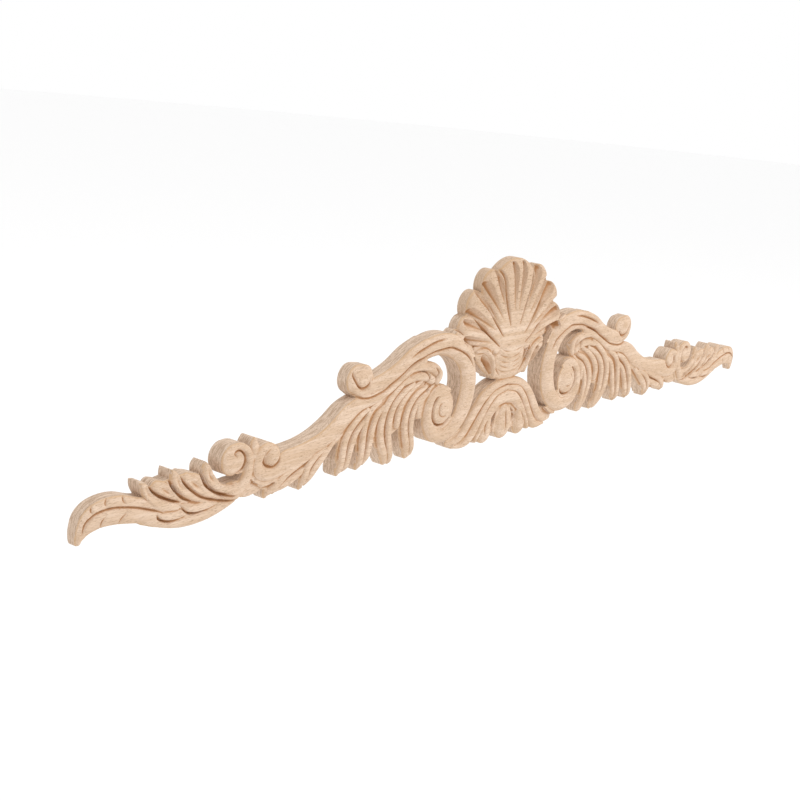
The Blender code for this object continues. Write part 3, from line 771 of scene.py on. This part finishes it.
def pale_wood():
    """Unfinished wood: grain, pores, sawn sides, painted shade in hollows and gouge cuts, tinted
    arrises.
    """
    wood = Shading("pale_wood")
    layers = wood.step(wood.noise(LAYER_GRAIN, 4.0, 0.7), 0.38, 0.62)
    fibres = wood.step(wood.noise(FIBRE_GRAIN, 2.0, 0.6), 0.42, 0.64)
    saw_lines = wood.step(wood.noise(SAW_GRAIN, 2.0, 0.6), 0.42, 0.62)
    clouds = wood.step(wood.noise(CLOUD_GRAIN, 2.0), 0.3, 0.7)
    pores = wood.step(wood.noise(PORE_GRAIN, 1.0), 0.57, 0.67)
    side = wood.attribute("side")
    front = wood.math("SUBTRACT", 1.0, side)
    height = wood.tree.nodes.new("ShaderNodeSeparateXYZ")
    wood.link(wood.place, height.inputs["Vector"])
    upper = wood.step(height.outputs["Z"], GLUE_LINE - GLUE_BLUR, GLUE_LINE + GLUE_BLUR)

    face = wood.blend(layers, PALE_WOOD, LATE_WOOD)
    face = wood.tint(face, clouds, 0.4, CLOUD)
    face = wood.tint(face, fibres, 0.45, FIBRE)
    sawn = wood.blend(saw_lines, SAWN_WOOD, SAW_LINE)
    colour = wood.blend(side, face, sawn)
    colour = wood.tint(colour, upper, 0.5, UPPER_STRIP)
    open_pores = wood.math("ADD", wood.math("MULTIPLY", side, 0.1),
                           wood.math("ADD", wood.math("MULTIPLY", upper, 0.25), 0.5))
    colour = wood.blend(wood.math("MULTIPLY", pores, open_pores), colour, PORE)
    # Painted shade in hollows and gouge creases, darker where they lie deeper; the arris tint makes
    # the front warmer and darker along the outline.
    for name, low, high, strength, paint in (("arris", 0.3, 1.0, 0.55, ARRIS_TINT),
                                             ("hollow_shade", 0.12, 0.9, 0.6, HOLLOW_PAINTED_SHADE),
                                             ("crease_shade", 0.12, 0.75, 0.75, CREASE_PAINTED_SHADE)):
        value = wood.math("MULTIPLY", wood.step(wood.attribute(name), low, high), front)
        colour = wood.tint(colour, value, strength, paint)

    wood.link(colour, wood.shader.inputs["Base Color"])
    wood.link(wood.step(layers, 0.0, 1.0, 0.72, 0.8), wood.shader.inputs["Roughness"])
    wood.shader.inputs["Metallic"].default_value = 0.0
    wood.shader.inputs["Specular IOR Level"].default_value = 0.3
    bump = wood.tree.nodes.new("ShaderNodeBump")
    bump.inputs["Strength"].default_value = 0.4
    bump.inputs["Distance"].default_value = PORE_DEPTH
    bump.invert = True
    wood.link(wood.math("ADD", pores, wood.math("MULTIPLY", fibres, 0.5)), bump.inputs["Height"])
    wood.link(bump.outputs["Normal"], wood.shader.inputs["Normal"])
    return wood.material


wood = pale_wood()
print("wood uses", len(wood.node_tree.nodes), "nodes")

# %% [markdown]
# The steps come together here. The raw grid mesh is thinned and rippled by its two
# modifiers, and the result becomes a plain mesh. Then it gets the values that the wood reads.
# How deep a place lies is the height of its surroundings less its own, read from the same
# grid as the shape: a wide spread finds the hollows, and a narrow one the gouge creases, and
# the wood paints shade into both. The arris value is highest at the outline and fades inwards.
# Smooth shading with sharp edges above an angle keeps ribs round and arrises crisp.

# %% The applique
HOLLOW_SPREAD = 0.0022
HOLLOW_FULL = 7.0
CREASE_SPREAD = 0.00075
CREASE_FULL = 1.8
EDGE_FADE = 4.0
LEAST_SHARE = 0.02
BACK_BAND = 0.0005
SHARP_ANGLE = math.radians(48)


def box_average(grid, cells):
    """Each value's average over a square, with the sums of rows and of columns."""
    for axis in (0, 1):
        room = [(cells + 1, cells) if side == axis else (0, 0) for side in (0, 1)]
        total = np.cumsum(np.pad(grid, room), axis=axis)
        size = grid.shape[axis]
        ahead = np.take(total, range(2 * cells + 1, 2 * cells + 1 + size), axis=axis)
        behind = np.take(total, range(size), axis=axis)
        grid = (ahead - behind) / (2 * cells + 1)
    return grid


def hollows(relief_grid, places, spread, full):
    """How deep places lie below their surroundings, from 0 to 1."""
    x, z, reach, top = relief_grid
    cells = round(spread / GRID_STEP)
    covered = (reach > 0).astype(float)
    wood_share = np.maximum(box_average(box_average(covered, cells), cells), LEAST_SHARE)
    around = box_average(box_average(top * covered, cells), cells) / wood_share
    depth = np.clip((around - top) / full, 0, 1) * np.clip(reach / EDGE_FADE, 0, 1)
    column = np.clip((places[:, 0] - x[0, 0]) / GRID_STEP, 0, x.shape[0] - 1.01)
    row = np.clip((places[:, 2] + MOUNT_LEVEL * UPWARD - z[0, 0]) / GRID_STEP, 0,
                  x.shape[1] - 1.01)
    i = column.astype(int)
    j = row.astype(int)
    u = column - i
    v = row - j
    lower = depth[i, j] * (1 - u) + depth[i + 1, j] * u
    upper = depth[i, j + 1] * (1 - u) + depth[i + 1, j + 1] * u
    return lower * (1 - v) + upper * v


def store(mesh, name, values):
    """Put one value on each vertex, for the material to read."""
    shade = mesh.attributes.new(name, "FLOAT", "POINT")
    shade.data.foreach_set("value", values.astype(np.float32))


def make_applique():
    """The carving as a plain mesh, with the values that its wood reads."""
    mesh, relief_grid = relief_mesh("applique")
    piece = bpy.data.objects.new("applique_carving", mesh)
    bpy.context.scene.collection.objects.link(piece)
    mesh.calc_loop_triangles()
    thin = piece.modifiers.new("Fewer triangles", "DECIMATE")
    thin.ratio = min(1.0, TRIANGLE_BUDGET / len(mesh.loop_triangles))
    carving = piece.modifiers.new("Hand carving", "NODES")
    carving.node_group, depth_input, size_input = carving_tree(wood)
    carving[depth_input] = RIPPLE_DEPTH
    carving[size_input] = RIPPLE_SIZE
    shown = piece.evaluated_get(bpy.context.evaluated_depsgraph_get())
    plain = bpy.data.meshes.new_from_object(shown)
    piece.modifiers.clear()
    piece.data = plain
    places = np.empty(3 * len(plain.vertices), np.float32)
    plain.vertices.foreach_get("co", places)
    places = places.reshape(-1, 3)
    # Painted shade: how deep each front place lies, which the wood darkens.
    for name, spread, full in (("hollow_shade", HOLLOW_SPREAD, HOLLOW_FULL),
                               ("crease_shade", CREASE_SPREAD, CREASE_FULL)):
        depth = hollows(relief_grid, places, spread, full)
        depth[places[:, 1] > -BACK_BAND] = 0
        store(plain, name, depth)
    inside = carve(places[:, 0] / ACROSS, places[:, 2] / UPWARD + MOUNT_LEVEL)[0]
    store(plain, "arris", np.clip(1 - inside / EDGE_FADE, 0, 1))
    plain.shade_smooth()
    plain.set_sharp_from_angle(angle=SHARP_ANGLE)
    plain.name = "applique_carving"
    return piece


applique = make_applique()
applique.data.calc_loop_triangles()
print("applique:", len(applique.data.loop_triangles), "triangles")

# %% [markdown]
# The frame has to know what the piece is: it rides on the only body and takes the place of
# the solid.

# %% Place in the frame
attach(applique, "root")
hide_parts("applique")
print(applique.name, "rides on root and replaces the solid")

# %% [markdown]
# A plain pale floor well below the piece and a pale sky give a product photo's even
# background. The one lamp is a large panel in front, to the right and above, so the ribs'
# left sides and the board's end fall into soft shade, which the sky keeps light.
#
# The camera's place was worked out from matching points on the two wings of the photograph:
# close by, near the left end, a little above the piece, and tipped by a few degrees.

# %% Floor, light and camera
FLOOR_DROP = 0.30
FLOOR_RADIUS = 8.0
FLOOR_SIDES = 96
FLOOR_PAINT = (0.97, 0.97, 0.97, 1.0)
LAMP_PLACE = (1.1, -1.3, 1.3)
LAMP_SIZE = 0.6
LAMP_WATTS = 14.0
LAMP_COLOUR = (1.0, 0.985, 0.96)
SKY_STRENGTH = 1.0
CAMERA_PLACE = (-0.66296, -0.43206, 0.18113)
CAMERA_AZIMUTH = 0.92786
CAMERA_ELEVATION = 0.24628
CAMERA_ROLL = 0.09650
CAMERA_LENS = 65.25


def pale_floor():
    """A wide, matt, nearly white disc below the piece."""
    corners = [(FLOOR_RADIUS * math.cos(2 * math.pi * turn / FLOOR_SIDES),
                FLOOR_RADIUS * math.sin(2 * math.pi * turn / FLOOR_SIDES),
                (LOWEST - MOUNT_LEVEL) * UPWARD - FLOOR_DROP)
               for turn in range(FLOOR_SIDES)]
    mesh = bpy.data.meshes.new("floor")
    mesh.from_pydata(corners, [], [range(FLOOR_SIDES)])
    paint = bpy.data.materials.new("floor_paint")
    paint.use_nodes = True
    shader = paint.node_tree.nodes["Principled BSDF"]
    shader.inputs["Base Color"].default_value = FLOOR_PAINT
    shader.inputs["Roughness"].default_value = 0.9
    mesh.materials.append(paint)
    ground = bpy.data.objects.new("floor", mesh)
    bpy.context.scene.collection.objects.link(ground)
    return ground


def panel(name, place, aim, size, watts, colour):
    """A square lamp that points at a place."""
    lamp = bpy.data.lights.new(name, "AREA")
    lamp.size = size
    lamp.energy = watts
    lamp.color = colour
    item = bpy.data.objects.new(name, lamp)
    item.location = place
    item.rotation_euler = (Vector(aim) - Vector(place)).to_track_quat("-Z", "Y").to_euler()
    bpy.context.scene.collection.objects.link(item)


def sky(strength):
    """The same white light from all round."""
    world = bpy.data.worlds.new("pale_sky")
    world.use_nodes = True
    background = world.node_tree.nodes["Background"]
    background.inputs["Color"].default_value = (1.0, 1.0, 1.0, 1.0)
    background.inputs["Strength"].default_value = strength
    bpy.context.scene.world = world


def photo_camera(place, azimuth, elevation, roll, lens):
    """Azimuth turns from +Y towards +X, elevation looks down, roll tips the picture."""
    view = Vector((math.sin(azimuth) * math.cos(elevation),
                   math.cos(azimuth) * math.cos(elevation), -math.sin(elevation)))
    right = view.cross(Vector((0, 0, 1))).normalized()
    above = right.cross(view)
    turned_right = right * math.cos(roll) + above * math.sin(roll)
    turned_above = above * math.cos(roll) - right * math.sin(roll)
    camera = bpy.data.objects.new("camera", bpy.data.cameras.new("camera"))
    camera.matrix_world = Matrix.Translation(place) @ Matrix(
        (turned_right, turned_above, -view)).transposed().to_4x4()
    camera.data.lens = lens
    camera.data.clip_start = 0.01
    bpy.context.scene.collection.objects.link(camera)
    bpy.context.scene.camera = camera


pale_floor()
panel("key_panel", LAMP_PLACE, (0, 0, 0), LAMP_SIZE, LAMP_WATTS, LAMP_COLOUR)
sky(SKY_STRENGTH)
bpy.context.scene.view_settings.view_transform = "Standard"
photo_camera(CAMERA_PLACE, CAMERA_AZIMUTH, CAMERA_ELEVATION, CAMERA_ROLL, CAMERA_LENS)
print("the camera is", round(Vector(CAMERA_PLACE).length, 2), "m from the piece's middle")
